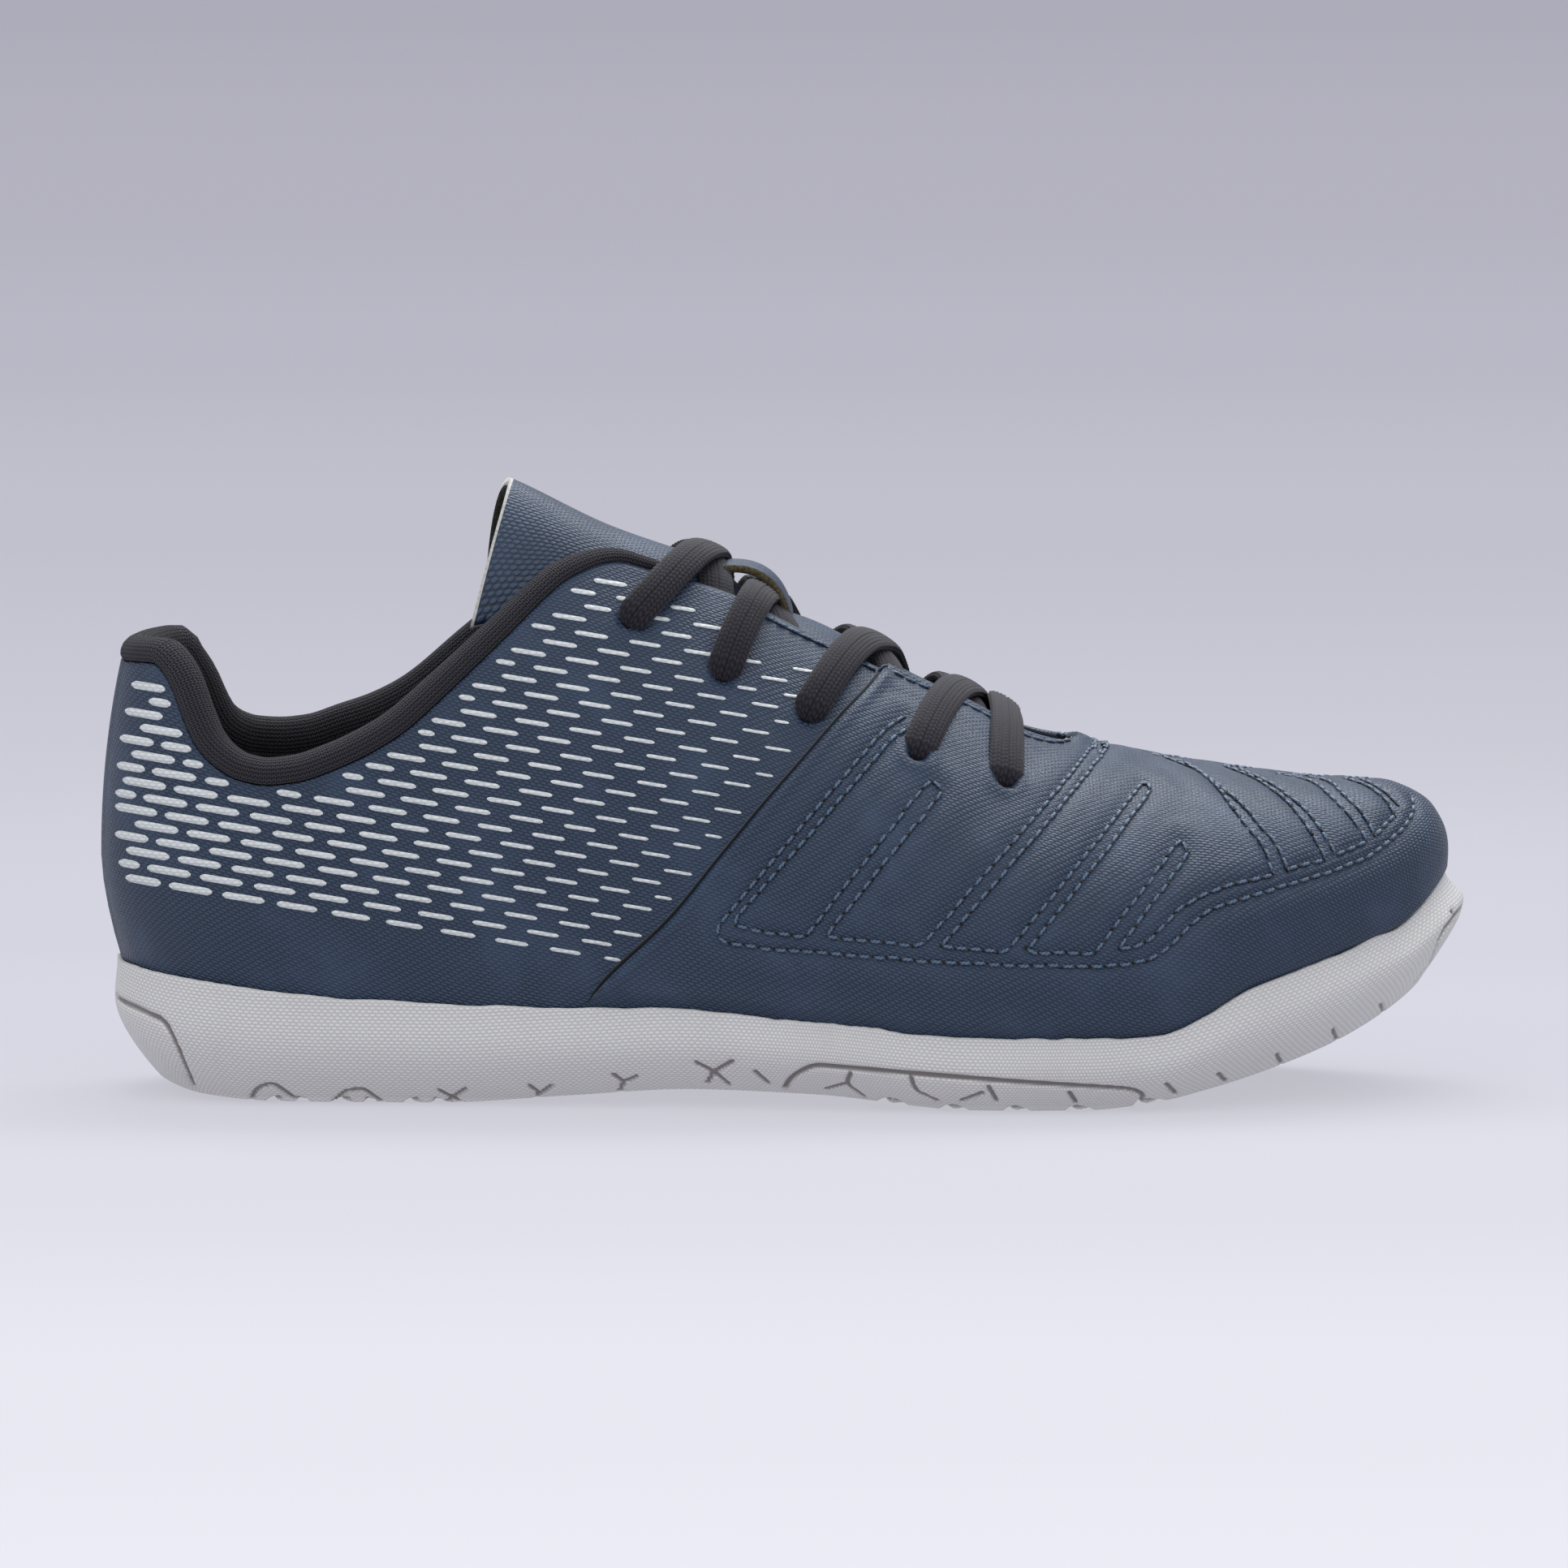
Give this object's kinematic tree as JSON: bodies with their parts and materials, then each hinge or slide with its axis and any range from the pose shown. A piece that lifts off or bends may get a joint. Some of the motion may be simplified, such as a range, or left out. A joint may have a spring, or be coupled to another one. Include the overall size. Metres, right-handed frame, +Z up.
{
  "type": "indoor soccer shoe",
  "caption": "Low right shoe for indoor soccer: hollow synthetic upper with stitched vamp and flat lacing, padded knit collar and a rubber cup sole.",
  "frame": {"origin": "on the floor, under the middle of the whole shoe's length and width", "axes": "+X to the toe, +Y to the medial (inner) side, +Z up"},
  "size_m": [0.2894, 0.1072, 0.1298],
  "materials": {
    "sole_rubber": "matt moulded rubber with a fine raised dot texture",
    "upper_synthetic": "satin coated synthetic leather with a fine embossed oval grain",
    "collar_knit": "dark padded knit",
    "sock_fabric": "dark brushed lining fabric",
    "lace_braid": "dark flat braid"
  },
  "bodies": {
    "root": {"sole": "sole_rubber", "upper": "upper_synthetic", "vamp": "upper_synthetic", "tongue": "upper_synthetic", "tongue_loop": "upper_synthetic", "collar": "collar_knit", "insole": "sock_fabric", "lace_cross_1": "lace_braid", "lace_cross_2": "lace_braid", "lace_cross_3": "lace_braid", "lace_cross_4": "lace_braid", "lace_bar": "lace_braid"}
  },
  "joints": []
}
